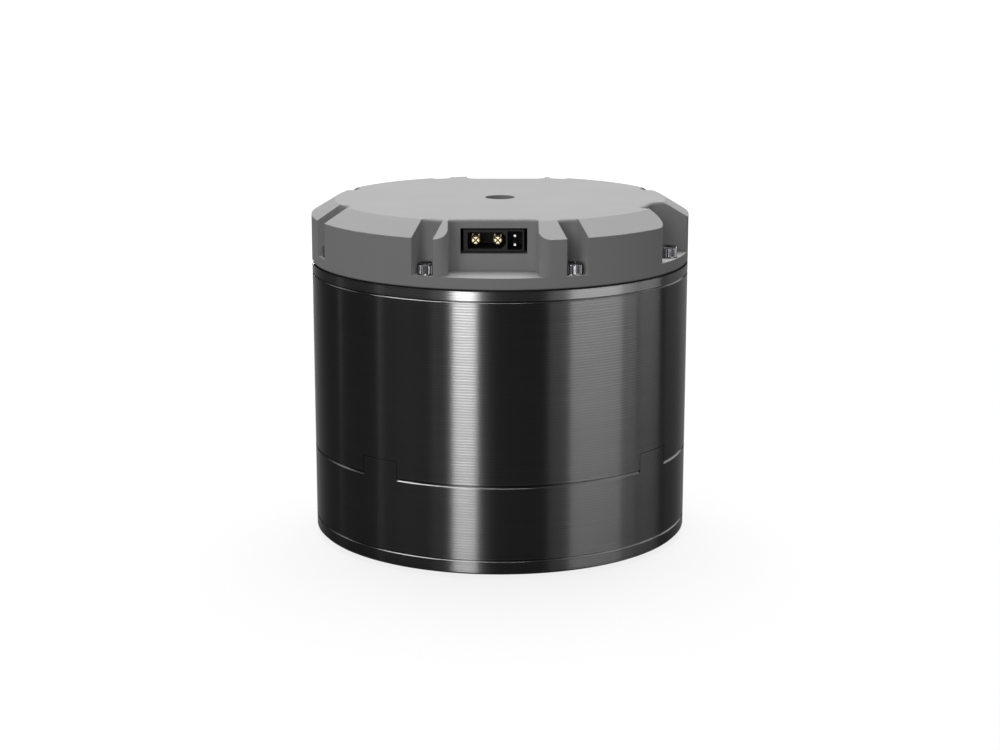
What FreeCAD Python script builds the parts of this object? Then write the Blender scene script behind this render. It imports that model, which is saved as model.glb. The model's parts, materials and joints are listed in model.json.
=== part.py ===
import FreeCAD, Part
import math
import os

# Hollow-shaft robot joint actuator: an inner-rotor motor, a two-stage planetary gearbox and a
# servo drive in one round body. Millimetres. The origin is the centre of the output face, which
# looks down; +Z runs up the shaft to the rear cover; -Y is the side with the main connector.
# Azimuths are degrees from -Y towards +X.

os.makedirs("parts", exist_ok=True)
V = FreeCAD.Vector

# ---------------------------------------------------------------- outer body
BODY_R = 44.5
FLANGE_PROUD = 1.0  # the output face stands this far out of the housing
CLAMP_RING_H = 3.23
GEARBOX_H = 17.22
MOTOR_H = 41.66
PLATE_H = 2.28
GASKET_H = 0.4
COVER_H = 14.21
GASKET_INSET = 0.6  # leaves the dark line under the cover
EDGE = 0.25  # chamfer along the seams
LEDGE = 0.45  # larger chamfer on the gearbox's upper edge
FOOT_CHAMFER = 0.5
HOUSING_WALL = 4.9
CORE_R = BODY_R - HOUSING_WALL  # bore that holds the ring gears and the stator
TAB_COUNT = 4
TAB_AZ = -37.8
TAB_ANGLE = 12.6
TAB_H = 4.05
TAB_GAP = 0.12

# ---------------------------------------------------------------- rear cover
COVER_CHAMFER_R = 5.6
COVER_CHAMFER_H = 3.4
COVER_FLOOR = 2.61  # thickness under the screw heads
COVER_ROOF = 2.2
COVER_WALL = 2.2  # wall behind the connector recesses and the side pocket
SLOT_COUNT = 8
SLOT_AZ = 22.5
SLOT_W = 5.07
SLOT_DEPTH = 6.7  # inwards from the cover's side
SLOT_INNER_R = BODY_R - SLOT_DEPTH
SLOT_CORNER = 1.8
RECESS_W = 19.8
RECESS_X = -1.5
RECESS_DEPTH = 9.7
RECESS_BACK = BODY_R - RECESS_DEPTH
RECESS_CORNER = 2.5
RECESS_MOUTH = 2.3
SIDE_POCKET = 1  # the slot that opens into a wide pocket
POCKET_DEPTH = 8.3
POCKET_INNER_R = BODY_R - POCKET_DEPTH
COVER_CAVITY_R = POCKET_INNER_R - COVER_WALL
POCKET_NEAR_AZ = 60.8
POCKET_FAR_Y = 8.5
POCKET_CORNER = 2.0
POCKET_MOUTH = 5.0
RIM_SOFT = 0.8  # rounding where recess and slots meet the top
SOFT_FLATS = 4

# ---------------------------------------------------------------- screws
COVER_SCREW_INSET = 2.8  # from the body's side to the screw's axis
COVER_SCREW_R = BODY_R - COVER_SCREW_INSET
FRONT_SCREW_INSET = 3.0
FRONT_SCREW_R = BODY_R - FRONT_SCREW_INSET
M25_R = 1.25
M25_HEAD_R = 2.25
M25_HEAD_H = 2.5
M25_HOLE_R = 1.4
M25_SOCKET = 2.0
M25_SOCKET_DEPTH = 1.3
M25_HEAD_EDGE = 0.25
M25_SINK_SOCKET_R = 1.0
M25_SINK_SOCKET_DEPTH = 0.9
HEAD_CLEAR = 0.15  # round a head in its counterbore or countersink
HEAD_DROP = 0.1  # countersunk heads lie this far under the face
COVER_SCREW_L = 11.0
LONG_SCREW_L = 20.0
LONG_SCREW_SINK = 2.8
CLAMP_SCREW_L = 7.0
CLAMP_SCREW_COUNT = 8
M3_R = 1.5
M3_SINK_R = 2.9
M3_SOCKET_R = 1.1
M3_SOCKET_DEPTH = 1.2
CARRIER_SCREW_GRIP = 8.0  # thread in a post
CARRIER_SCREW_TIP_GAP = 0.5
TAP_RUN_OUT = 1.0
M4_TAP_R = 1.65
MOUNT_COUNT = 8
MOUNT_AZ = 22.5
MOUNT_DEPTH = 9.0
SOCKET_FLATS = 6

# ---------------------------------------------------------------- connectors
WINDOW_W = 14.75
WINDOW_H = 5.64
WINDOW_X = -1.35
WINDOW_DROP = 4.9  # its middle, below the cover's top
SHELL_W = 13.4
SHELL_H = 4.88
SHELL_L = 11.0
SHELL_SINK = 0.6
SOCKET_DEPTH = 8.0
POWER_W = 8.4
POWER_H = 3.65
POWER_X = -1.58
POWER_CHAMFER = 0.9
SIGNAL_W = 3.3
SIGNAL_H = 4.15
SIGNAL_X = 4.65
SIGNAL_CHAMFER = 0.2
POWER_PIN_R = 1.0
POWER_PIN_PITCH = 4.9
POWER_SLIT_W = 0.3
POWER_SLIT_L = 4.5
SIGNAL_PIN_R = 0.35
SIGNAL_PIN_PITCH = 2.0
PIN_SINK = 0.4
PIN_TIP = 0.25  # chamfer, of the pin's radius

# ---------------------------------------------------------------- hollow tube
TUBE_BORE_R = 3.1
TUBE_WALL = 0.4
TUBE_R = TUBE_BORE_R + TUBE_WALL
CENTRE_HOLE_R = TUBE_R  # the cover's lip hides the gap round the tube
TUBE_GAP = 0.3  # round and above the tube in the rear cover
TUBE_RISE = 0.7  # how far the tube reaches into the roof
SHAFT_GAP = 0.4  # between the still tube and the turning shafts
SHAFT_BORE_R = TUBE_R + SHAFT_GAP

# ---------------------------------------------------------------- output bearing
BEARING_STEP = 1.6  # the bearing's seat is smaller than the core
BEARING_R = CORE_R - BEARING_STEP
BEARING_SECTION = 8.0
BEARING_BORE_R = BEARING_R - BEARING_SECTION
BEARING_H = 8.0
RACE_GAP = 1.2
ROLLER_COUNT = 30
ROLLER_D = 3.96
ROLLER_L = 3.9
ROLLER_CLEAR = 0.03
CAGE_T = 0.8
CAGE_H = 7.0
CAGE_GAP = 0.1
SHOULDER_H = 1.4
SHOULDER_STEP = 1.8
SHOULDER_R = BEARING_R - SHOULDER_STEP
SEAL_GAP = 0.05
SEAL_W = 1.75
SEAL_H = 2.5
SEAL_BEVEL = 0.9  # the lip's lower face
SEAL_BAND = 0.4  # height of the lip's running face
SEAL_BACK = 0.6

# ---------------------------------------------------------------- output flange
FLANGE_R = SHOULDER_R - SEAL_W - SEAL_GAP
PILOT_DEPTH = 1.2
FLANGE_CHAMFER = 0.4
OUTPUT_BOLT_INSET = 4.0  # from the bearing's bore
OUTPUT_BOLT_R = BEARING_BORE_R - OUTPUT_BOLT_INSET
OUTPUT_BOLT_COUNT = 8
OUTPUT_BOLT_DEPTH = 8.0
DOWEL_R = 1.5
DOWEL_INSET = 6.0  # from the bolt circle
DOWEL_PITCH_R = OUTPUT_BOLT_R - DOWEL_INSET
DOWEL_COUNT = 4
DOWEL_DEPTH = 5.0
PILOT_INSET = 5.0  # from the dowel circle
PILOT_R = DOWEL_PITCH_R - PILOT_INSET
NUT_SECTION = 3.0
NUT_R = BEARING_BORE_R + NUT_SECTION
NUT_H = 2.0
NUT_NOTCHES = 6
NUT_NOTCH_W = 3.0
NUT_NOTCH_DEPTH = 1.2
HUB_RISE = 0.2  # the hub stands above the lock nut
HUB_POCKET_WALL = 2.6  # from the pocket to the planet pins
HUB_POCKET_FLOOR = 8.0
HUB_SLEEVE_WALL = 1.7
HUB_SLEEVE_R = TUBE_R + HUB_SLEEVE_WALL
PIN_2_SEAT = 1.0  # from the hub pocket's floor to the pins

# ---------------------------------------------------------------- gears
PRESSURE_ANGLE = math.radians(20)
ADDENDUM = 0.8  # of the module: stub teeth
DEDENDUM = 1.0
TOOTH_THIN = 0.08  # taken off each tooth at the pitch circle
PLANETS = 3
SUN_1_TEETH = 12
PLANET_1_TEETH = 30
RING_1_WALL = 2.6  # behind the ring gear's teeth; makes the module 1.0
FACE_1 = 5.8
PIN_1_R = 2.5
SUN_2_TEETH = 14
PLANET_2_TEETH = 34
RING_2_WALL = 1.8  # makes the module 0.9
FACE_2 = 9.0
PIN_2_R = 3.0
PIN_1_OVER = 0.2  # the first-stage pins stand out of their planets
RING_2_OVER = 1.0  # the second ring gear runs on past the carrier plate's face
SUN_1_OVER = 0.1
SUN_1_GAP = 0.2  # from the sun gear's shoulder to the bulkhead
BULKHEAD_GAP = 0.7  # above the first-stage planets
BUSH_WALL = 1.2
BUSH_GAP = 0.03
BUSH_END_GAP = 0.1
SIDE_GAP = 0.5  # at each end of a planet
CARRIER_H = 2.5
CARRIER_GAP = 0.5  # the carriers are smaller than the bearing's bore
CARRIER_R = BEARING_BORE_R - CARRIER_GAP
CARRIER_BORE_GAP = 1.58  # round the second sun gear's tips
POST_GAP = 0.7
WASHER_H = 0.5
WASHER_GAP = 0.05
WASHER_R = 14.0
WASHER_BORE_GAP = 0.3
SUN_2_HUB_STEP = 0.02  # the hub is turned just under the tips
LIGHTENING_R = 4.0

# ---------------------------------------------------------------- motor
BULKHEAD_H = 2.5
ROTOR_BEARING_BORE_R = 8.5  # 17 x 23 x 4 thin-section ball bearings
ROTOR_BEARING_SECTION = 3.0
ROTOR_BEARING_R = ROTOR_BEARING_BORE_R + ROTOR_BEARING_SECTION
BOSS_WALL = 3.0
BOSS_R = ROTOR_BEARING_R + BOSS_WALL
ROTOR_BEARING_W = 4.0
ROTOR_RACE = 1.0
BALL_R = 0.8
BALL_COUNT = 16
BALL_CLEAR = 0.03
BALL_CAGE_T = 0.4
BALL_CAGE_H = 2.6
BALL_POCKET_GAP = 0.1
BEARING_END_GAP = 0.1
SEAL_LIP_H = 0.4
SHAFT_SEAL_H = 2.0
SHAFT_SEAL_GAP = 0.05
SHAFT_SHOULDER = 0.9
SHAFT_SHOULDER_R = ROTOR_BEARING_BORE_R + SHAFT_SHOULDER
SHAFT_TAIL_STEP = 1.0
SHAFT_TAIL_R = ROTOR_BEARING_BORE_R - SHAFT_TAIL_STEP
STACK_CLEAR = 1.42  # from the bulkhead to the coils
STACK_END_CLEAR = 2.06  # from the coils to the rear plate
STATOR_SLOTS = 18
YOKE_T = 4.2
YOKE_R = CORE_R - YOKE_T
TOOTH_L = 6.9
STATOR_BORE_R = YOKE_R - TOOTH_L
TOOTH_W = 4.0
SHOE_H = 1.4
SHOE_TAPER = 1.2
SLOT_OPENING = 2.0
COIL_BUILD = 1.8
COIL_OVERHANG = 3.4
COIL_CLEAR = 0.15
COIL_SHOE_GAP = 0.3
COIL_YOKE_GAP = 0.6
COIL_CHAMFER = 1.3
AIR_GAP = 0.5
MAGNET_T = 1.8
MAGNET_COUNT = 20
MAGNET_FILL = 0.86
MAGNET_OVER = 0.5  # the magnets' extra length at each end
RIM_T = 1.8
WEB_H = 3.0
WEB_INNER_RIM = 3.2  # from the shaft to the web's holes
WEB_OUTER_RIM = 3.4
WEB_HOLE_COUNT = 6
REAR_BEARING_DROP = 0.8  # room for the preload spring
SPRING_T = 0.6
SPRING_GAP = 0.2  # inside the bearing seat

# ---------------------------------------------------------------- drive electronics
BOARD_T = 1.6
BOARD_GAP = 0.6
BOARD_HOLE_R = 4.4
STANDOFF_R = 2.5
STANDOFF_INSET = 6.0  # from the cover's cavity
STANDOFF_PITCH_R = COVER_CAVITY_R - STANDOFF_INSET
STANDOFF_AZ = 45.0
STANDOFF_COUNT = 4
BOARD_SCREW_GRIP = 3.0
BOARD_SCREW_HEAD_H = 1.4
SHAFT_MAGNET_T = 1.5
SHAFT_MAGNET_R = SHAFT_TAIL_R + SHAFT_MAGNET_T
SHAFT_MAGNET_H = 1.5
SHAFT_MAGNET_DROP = 2.4
TUBE_MAGNET_T = 4.0
TUBE_MAGNET_R = TUBE_R + TUBE_MAGNET_T
TUBE_MAGNET_H = 2.0
TUBE_MAGNET_RISE = 1.0
MOSFET = (5.0, 6.0, 1.0)  # width, depth, height
MOSFET_COUNT = 6
MOSFET_R = 22.5
MOSFET_AZ = 0.0
PAD_W = 7.0
CAPACITOR_R = 3.0
CAPACITOR_H = 4.2
CAPACITOR_AT = ((-24.0, 3.5), (-24.0, -4.0), (24.0, -3.5))
CHIPS = ((12.0, 7.0, 7.0, 7.0), (-13.0, 8.0, 6.0, 6.0), (14.0, -8.0, 4.0, 5.0))  # x, y, width, depth
CHIP_H = 1.0
SENSOR = (3.0, 3.0, 0.9)
TERMINAL = (2.4, 1.2)  # width, thickness
TERMINAL_INSET = 1.6
TERMINAL_R = COVER_CAVITY_R - TERMINAL_INSET
TERMINAL_AZ = (60.0, 80.0, 100.0)
TERMINAL_HOLE_R = 2.2

OVER = 1.0  # how far cutters run past what they cut
FAR = 5.0  # the same for those that open to the outside
TINY = 0.01


def stage(sun, planet, wall, face, pin_r):
    """One planetary stage; its module lets the ring gear fill the core up to its wall."""
    ring = sun + 2 * planet
    module = (CORE_R - wall) / (ring / 2 + DEDENDUM)
    return {"sun": sun, "planet": planet, "ring": ring, "module": module, "face": face, "pin_r": pin_r,
            "centre_distance": module * (sun + planet) / 2}


STAGE_1 = stage(SUN_1_TEETH, PLANET_1_TEETH, RING_1_WALL, FACE_1, PIN_1_R)
STAGE_2 = stage(SUN_2_TEETH, PLANET_2_TEETH, RING_2_WALL, FACE_2, PIN_2_R)
HUB_POCKET_R = STAGE_2["centre_distance"] - PIN_2_R - HUB_POCKET_WALL
SUN_2_TIP_R = STAGE_2["module"] * (SUN_2_TEETH / 2 + ADDENDUM)
SUN_2_HUB_R = SUN_2_TIP_R - SUN_2_HUB_STEP
CARRIER_BORE_R = SUN_2_TIP_R + CARRIER_BORE_GAP

# ---------------------------------------------------------------- heights
z_ring = FLANGE_PROUD
z_gearbox = z_ring + CLAMP_RING_H
z_motor = z_gearbox + GEARBOX_H
z_plate = z_motor + MOTOR_H
z_gasket = z_plate + PLATE_H
z_cover = z_gasket + GASKET_H
z_top = z_cover + COVER_H
z_slot = z_cover + COVER_FLOOR
z_roof = z_top - COVER_ROOF
z_tube_top = z_roof + TUBE_RISE
z_socket = z_top - WINDOW_DROP

z_race_top = z_gearbox + BEARING_H
z_ring_2 = z_race_top + SHOULDER_H
z_hub = z_race_top + NUT_H + HUB_RISE
z_pin_2 = HUB_POCKET_FLOOR + PIN_2_SEAT
z_planet_2 = z_hub + SIDE_GAP
z_carrier_2 = z_planet_2 + FACE_2 + SIDE_GAP
z_carrier_2_top = z_carrier_2 + CARRIER_H
z_ring_1 = z_carrier_2 + RING_2_OVER
z_carrier_1 = z_carrier_2_top + WASHER_H + 2 * WASHER_GAP
z_carrier_1_top = z_carrier_1 + CARRIER_H
z_planet_1 = z_carrier_1_top + SIDE_GAP
z_planet_1_top = z_planet_1 + FACE_1
z_bulkhead = z_planet_1_top + BULKHEAD_GAP
z_deck = z_bulkhead + BULKHEAD_H

z_shaft_seal = z_bulkhead + SEAL_LIP_H
z_front_bearing = z_shaft_seal + SHAFT_SEAL_H + BEARING_END_GAP
z_boss_top = z_front_bearing + ROTOR_BEARING_W
z_stack = z_deck + STACK_CLEAR + COIL_OVERHANG + COIL_CLEAR
z_stack_top = z_plate - STACK_END_CLEAR - COIL_OVERHANG - COIL_CLEAR
z_rear_bearing = z_plate - REAR_BEARING_DROP - ROTOR_BEARING_W
z_board_top = z_socket - SHELL_H / 2
z_board = z_board_top - BOARD_T

built = {}


# ---------------------------------------------------------------- helpers
def at(azimuth, radius, z=0.0):
    """A point on a circle, by azimuth from -Y towards +X."""
    a = math.radians(azimuth)
    return V(radius * math.sin(a), -radius * math.cos(a), z)


def tube(outer_r, inner_r, z0, z1):
    return disc(outer_r, z0, z1).cut(disc(inner_r, z0 - OVER, z1 + OVER))


def disc(radius, z0, z1, centre=V(0, 0, 0)):
    return Part.makeCylinder(radius, z1 - z0, V(centre.x, centre.y, z0))


def box(x, y, z):
    """A box from three (low, high) pairs."""
    return Part.makeBox(x[1] - x[0], y[1] - y[0], z[1] - z[0], V(x[0], y[0], z[0]))


def turned(profile):
    """A solid of revolution about Z from (radius, z) corners."""
    corners = [V(r, 0, z) for r, z in profile]
    face = Part.Face(Part.makePolygon(corners + corners[:1]))
    return face.revolve(V(0, 0, 0), V(0, 0, 1), 360)


def prism(corners, z0, z1):
    """An upright prism on an outline of (x, y) corners."""
    points = [V(x, y, z0) for x, y in corners]
    return Part.Face(Part.makePolygon(points + points[:1])).extrude(V(0, 0, z1 - z0))


def spun(shape, degrees):
    return shape.rotated(V(0, 0, 0), V(0, 0, 1), degrees)


def wedge(half_degrees):
    """A tall wedge about the +X side, from the axis to beyond the body."""
    half = math.radians(half_degrees)
    x = 2 * BODY_R * math.cos(half)
    y = 2 * BODY_R * math.sin(half)
    return prism([(0, 0), (x, -y), (x, y)], 0, z_top)


def ring_of(shape, count, start=0.0):
    """Copies of a shape spread round Z; a positive angle runs the way azimuths do."""
    return [spun(shape, start + 360.0 * i / count) for i in range(count)]


def holes(radius, pitch_r, count, start, z0, z1):
    return [disc(radius, z0, z1, at(start + 360.0 * i / count, pitch_r)) for i in range(count)]


def node(name, *solids):
    """Keeps a sub-part under its name; several solids make one group."""
    shape = solids[0] if len(solids) == 1 else Part.makeCompound(list(solids))
    built[name] = shape


def screw(radius, head_r, head_h, length, seat, up=True):
    """A socket head cap screw whose head sits on the point seat; its shank runs down if up."""
    key = Part.makePolygon([V(M25_SOCKET / math.sqrt(3) * math.cos(math.radians(60 * i)),
                              M25_SOCKET / math.sqrt(3) * math.sin(math.radians(60 * i)),
                              head_h - M25_SOCKET_DEPTH) for i in range(SOCKET_FLATS + 1)])
    head = Part.makeCylinder(head_r, head_h)
    head = head.makeChamfer(M25_HEAD_EDGE, [e for e in head.Edges if e.BoundBox.ZMin > head_h / 2])
    head = head.cut(Part.Face(key).extrude(V(0, 0, head_h)))
    body = head.fuse(Part.makeCylinder(radius, length, V(0, 0, -length))).removeSplitter()
    if not up:
        body.rotate(V(0, 0, 0), V(1, 0, 0), 180)
    body.translate(seat)
    return body


def sunk_screw(radius, head_r, length, seat, socket_r, socket_depth):
    """A countersunk screw with its flat head flush at seat and its shank running up."""
    head = Part.makeCone(head_r, radius, head_r - radius)
    body = head.fuse(Part.makeCylinder(radius, length)).removeSplitter()
    body = body.cut(Part.makeCylinder(socket_r, socket_depth))
    body.translate(seat)
    return body


def sunk_hole(radius, head_r, z0, z1, centre):
    """A countersunk hole that opens at z0 and runs up to z1."""
    cone = Part.makeCone(head_r, radius, head_r - radius, V(centre.x, centre.y, z0))
    return cone.fuse(disc(radius, z0, z1, centre))


# ---------------------------------------------------------------- gear teeth
def involute(angle):
    return math.tan(angle) - angle


def half_tooth(teeth, module, radius, thin):
    """Half the angle that an involute tooth fills at a radius."""
    pitch_r = teeth * module / 2
    base_r = pitch_r * math.cos(PRESSURE_ANGLE)
    local = math.acos(min(1.0, base_r / max(radius, base_r)))
    return math.pi / 2 / teeth - thin / 2 / pitch_r + involute(PRESSURE_ANGLE) - involute(local)


def tooth_outline(teeth, module, radii, thin, start):
    """Corners round a gear, from flanks at three radii; start is the first tooth's centre angle."""
    corners = []
    for i in range(teeth):
        centre = start + 2 * math.pi * i / teeth
        flank = [(r, half_tooth(teeth, module, r, thin)) for r in radii]
        corners += [(r * math.cos(centre - h), r * math.sin(centre - h)) for r, h in flank]
        corners += [(r * math.cos(centre + h), r * math.sin(centre + h)) for r, h in reversed(flank)]
    return corners


def spur_gear(teeth, module, z0, z1, start=0.0):
    pitch_r = teeth * module / 2
    radii = (pitch_r - DEDENDUM * module, pitch_r, pitch_r + ADDENDUM * module)
    return prism(tooth_outline(teeth, module, radii, TOOTH_THIN, start), z0, z1)


def ring_gear(teeth, module, z0, z1):
    """An internal gear with a tooth centred on the +X side; its tooth spaces are cut out."""
    pitch_r = teeth * module / 2
    radii = (pitch_r - ADDENDUM * module, pitch_r, pitch_r + DEDENDUM * module)
    space = prism(tooth_outline(teeth, module, radii, -TOOTH_THIN, math.pi / teeth), z0, z1)
    return disc(CORE_R, z0, z1).cut(space)


def planet_axis(stage, k):
    """Planet k's axis; k + 0.5 is the middle of the gap after it."""
    a = 2 * math.pi * k / PLANETS
    return V(math.cos(a), math.sin(a), 0) * stage["centre_distance"]


def planet_gear(stage, k, z0):
    """Planet k, turned so that it is in mesh with the sun and the ring."""
    gear = spur_gear(stage["planet"], stage["module"], z0, z0 + stage["face"],
                     math.pi + math.pi / stage["planet"])
    bore_r = stage["pin_r"] + BUSH_WALL + BUSH_GAP
    gear = gear.cut(disc(bore_r, z0 - OVER, z0 + stage["face"] + OVER))
    gear = spun(gear, 360.0 * k / PLANETS * (1 + stage["sun"] / stage["planet"]))
    gear.translate(planet_axis(stage, k))
    return gear


def planet_pins(stage, z0, z1):
    return [disc(stage["pin_r"], z0, z1, planet_axis(stage, k)) for k in range(PLANETS)]


def planet_bushes(stage, z0):
    bush = tube(stage["pin_r"] + BUSH_WALL, stage["pin_r"], z0 + BUSH_END_GAP,
                z0 + stage["face"] - BUSH_END_GAP)
    return [bush.translated(planet_axis(stage, k)) for k in range(PLANETS)]


# ---------------------------------------------------------------- housing
def make_clamp_ring():
    inner = FLANGE_R + SEAL_GAP + SEAL_W
    ring = turned([(inner, z_ring), (BODY_R - FOOT_CHAMFER, z_ring), (BODY_R, z_ring + FOOT_CHAMFER),
                   (BODY_R, z_gearbox - EDGE), (BODY_R - EDGE, z_gearbox), (inner, z_gearbox)])
    seats = [at(360.0 * i / CLAMP_SCREW_COUNT, FRONT_SCREW_R, z_ring) for i in range(CLAMP_SCREW_COUNT)]
    cuts = [sunk_hole(M25_HOLE_R, M25_HEAD_R + HEAD_CLEAR, z_ring, z_gearbox + OVER, s) for s in seats]
    cuts += holes(M4_TAP_R, FRONT_SCREW_R, MOUNT_COUNT, MOUNT_AZ, z_ring - OVER, z_gearbox + OVER)
    node("bearing_clamp_ring", ring.cut(cuts))
    node("clamp_ring_screws", *[sunk_screw(M25_R, M25_HEAD_R, CLAMP_SCREW_L, s + V(0, 0, HEAD_DROP),
                                           M25_SINK_SOCKET_R, M25_SINK_SOCKET_DEPTH) for s in seats])
    z_seal = z_gearbox - SEAL_H
    run_r = FLANGE_R + SEAL_GAP
    node("output_seal", turned([(run_r, z_seal + SEAL_BEVEL), (run_r + SEAL_BEVEL, z_seal), (inner, z_seal),
                                (inner, z_gearbox), (inner - SEAL_BACK, z_gearbox),
                                (run_r, z_seal + SEAL_BEVEL + SEAL_BAND)]))


def tabs(gap):
    """The four blocks that stand up from the gearbox housing, grown by a gap."""
    grow = math.degrees(gap / BODY_R)
    block = tube(BODY_R, CORE_R, z_motor - OVER, z_motor + TAB_H + gap)
    return [block.common(w) for w in ring_of(wedge(TAB_ANGLE / 2 + grow), TAB_COUNT, TAB_AZ - 90)]


def long_screw_azimuths():
    return [TAB_AZ + 45 + 360.0 * i / TAB_COUNT for i in range(TAB_COUNT)]


def make_gearbox_housing():
    shell = turned([(BEARING_R, z_gearbox), (BODY_R - EDGE, z_gearbox), (BODY_R, z_gearbox + EDGE),
                    (BODY_R, z_motor - LEDGE), (BODY_R - LEDGE, z_motor), (CORE_R, z_motor),
                    (CORE_R, z_ring_2), (SHOULDER_R, z_ring_2), (SHOULDER_R, z_race_top),
                    (BEARING_R, z_race_top)])
    shell = shell.fuse(tabs(0)).removeSplitter()
    z_tip = z_ring + HEAD_DROP + CLAMP_SCREW_L + TAP_RUN_OUT
    cuts = holes(M25_R, FRONT_SCREW_R, CLAMP_SCREW_COUNT, 0, z_gearbox - OVER, z_tip)
    cuts += holes(M4_TAP_R, FRONT_SCREW_R, MOUNT_COUNT, MOUNT_AZ, z_gearbox - OVER, z_ring + MOUNT_DEPTH)
    screws = []
    for az in long_screw_azimuths():
        seat = at(az, FRONT_SCREW_R, z_gearbox + LONG_SCREW_SINK)
        cuts.append(disc(M25_HEAD_R + HEAD_CLEAR, z_gearbox - OVER, seat.z, seat))
        cuts.append(disc(M25_HOLE_R, z_gearbox, z_motor + OVER, seat))
        screws.append(screw(M25_R, M25_HEAD_R, M25_HEAD_H, LONG_SCREW_L, seat, up=False))
    node("gearbox_housing", shell.cut(cuts))
    node("gearbox_screws", *screws)


def make_motor_housing():
    """Motor tube with the bulkhead that closes the gearbox and carries the front bearing."""
    lip_r = ROTOR_BEARING_R - ROTOR_RACE
    shell = turned([(CORE_R, z_motor), (BODY_R - EDGE, z_motor), (BODY_R, z_motor + EDGE),
                    (BODY_R, z_plate - EDGE), (BODY_R - EDGE, z_plate), (CORE_R, z_plate),
                    (CORE_R, z_deck), (BOSS_R, z_deck), (BOSS_R, z_boss_top), (ROTOR_BEARING_R, z_boss_top),
                    (ROTOR_BEARING_R, z_shaft_seal), (lip_r, z_shaft_seal), (lip_r, z_bulkhead),
                    (CORE_R, z_bulkhead)])
    z_cover_tip = z_slot - COVER_SCREW_L - TAP_RUN_OUT
    z_long_tip = z_gearbox + LONG_SCREW_SINK + LONG_SCREW_L + TAP_RUN_OUT
    cuts = tabs(TAB_GAP)
    cuts += holes(M25_R, COVER_SCREW_R, SLOT_COUNT, SLOT_AZ, z_cover_tip, z_plate + OVER)
    cuts += [disc(M25_R, z_motor - OVER, z_long_tip, at(az, FRONT_SCREW_R)) for az in long_screw_azimuths()]
    node("motor_housing", shell.cut(cuts))


def make_rear_plate():
    """Plate between motor and drive; its boss holds the rear rotor bearing."""
    lip_r = ROTOR_BEARING_R - ROTOR_RACE
    plate = turned([(lip_r, z_gasket), (BODY_R, z_gasket), (BODY_R, z_plate + EDGE),
                    (BODY_R - EDGE, z_plate), (BOSS_R, z_plate), (BOSS_R, z_rear_bearing),
                    (ROTOR_BEARING_R, z_rear_bearing), (ROTOR_BEARING_R, z_plate), (lip_r, z_plate)])
    bolts = holes(M25_HOLE_R, COVER_SCREW_R, SLOT_COUNT, SLOT_AZ, z_plate - OVER, z_cover + OVER)
    wires = [disc(TERMINAL_HOLE_R, z_plate - OVER, z_gasket + OVER, at(az, TERMINAL_R)) for az in TERMINAL_AZ]
    node("motor_rear_plate", plate.cut(bolts + wires))
    gasket = tube(BODY_R - GASKET_INSET, COVER_CAVITY_R + COVER_WALL, z_gasket, z_cover)
    node("cover_gasket", gasket.cut(bolts))


# ---------------------------------------------------------------- rear cover
def upright_edges(shape, wanted):
    """The straight edges along Z whose place passes a test on x and y."""
    boxes = [(e, e.BoundBox) for e in shape.Edges]
    upright = [(e, b.Center) for e, b in boxes if b.ZLength > OVER and max(b.XLength, b.YLength) < TINY]
    return [e for e, c in upright if wanted(c.x, c.y)]


def recess_tool():
    """The connector recess on the -Y side: flat back, round inner corners, flared round mouth."""
    low = RECESS_X - RECESS_W / 2
    high = RECESS_X + RECESS_W / 2
    bay = box((low, high), (-BODY_R - FAR, -RECESS_BACK), (z_slot, z_top + FAR))
    bay = bay.makeFillet(RECESS_CORNER, upright_edges(bay, lambda x, y: y > -RECESS_BACK - TINY))
    return bay.fuse([mouth_flare(low, -1), mouth_flare(high, 1)])


def mouth_flare(wall_x, side):
    """What the round mouth edge takes off beyond a side wall of the recess."""
    centre_x = wall_x + side * RECESS_MOUTH
    centre_y = -math.sqrt((BODY_R - RECESS_MOUTH) ** 2 - centre_x**2)
    span = sorted((wall_x, centre_x + side * RECESS_MOUTH))
    slab = box(span, (-BODY_R - FAR, centre_y), (z_slot, z_top + FAR))
    round_edge = disc(RECESS_MOUTH, z_slot - OVER, z_top + FAR + OVER, V(centre_x, centre_y, 0))
    ray = BODY_R / (BODY_R - RECESS_MOUTH)
    beyond = sorted((centre_x * ray, centre_x * ray + side * BODY_R))
    keep_out = box(beyond, (-2 * BODY_R, 0), (z_slot - OVER, z_top + FAR + OVER))
    return slab.cut([round_edge, keep_out])


def slot_tool(azimuth):
    bay = box((SLOT_INNER_R, BODY_R + FAR), (-SLOT_W / 2, SLOT_W / 2), (z_slot, z_top + FAR))
    inner = upright_edges(bay, lambda x, y: x < SLOT_INNER_R + TINY)
    return spun(bay.makeFillet(SLOT_CORNER, inner), azimuth - 90)


def pocket_tool():
    """The wide side pocket: an arc at the back, a radial near wall with a large round mouth."""
    near = at(POCKET_NEAR_AZ, 1)
    mouth_r = BODY_R - POCKET_MOUTH
    bend = math.degrees(math.asin(POCKET_MOUTH / mouth_r))
    knee = at(POCKET_NEAR_AZ - bend, mouth_r)
    leave = at(POCKET_NEAR_AZ - bend, BODY_R + FAR)
    span = 2 * BODY_R
    outline = [(0, 0), (near.x * span, near.y * span), (span, -POCKET_FAR_Y), (0, -POCKET_FAR_Y)]
    bay = prism(outline, z_slot, z_top + FAR).cut(disc(POCKET_INNER_R, z_slot - OVER, z_top + FAR + OVER))
    back = upright_edges(bay, lambda x, y: math.hypot(x, y) < POCKET_INNER_R + TINY)
    bay = bay.makeFillet(POCKET_CORNER, back)
    foot = near * (mouth_r * math.cos(math.radians(bend)))
    flare = prism([(foot.x, foot.y), (knee.x, knee.y), (leave.x, leave.y), (near.x * span, near.y * span)],
                  z_slot, z_top + FAR)
    return bay.fuse(flare.cut(disc(POCKET_MOUTH, z_slot - OVER, z_top + FAR + OVER, knee)))


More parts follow.
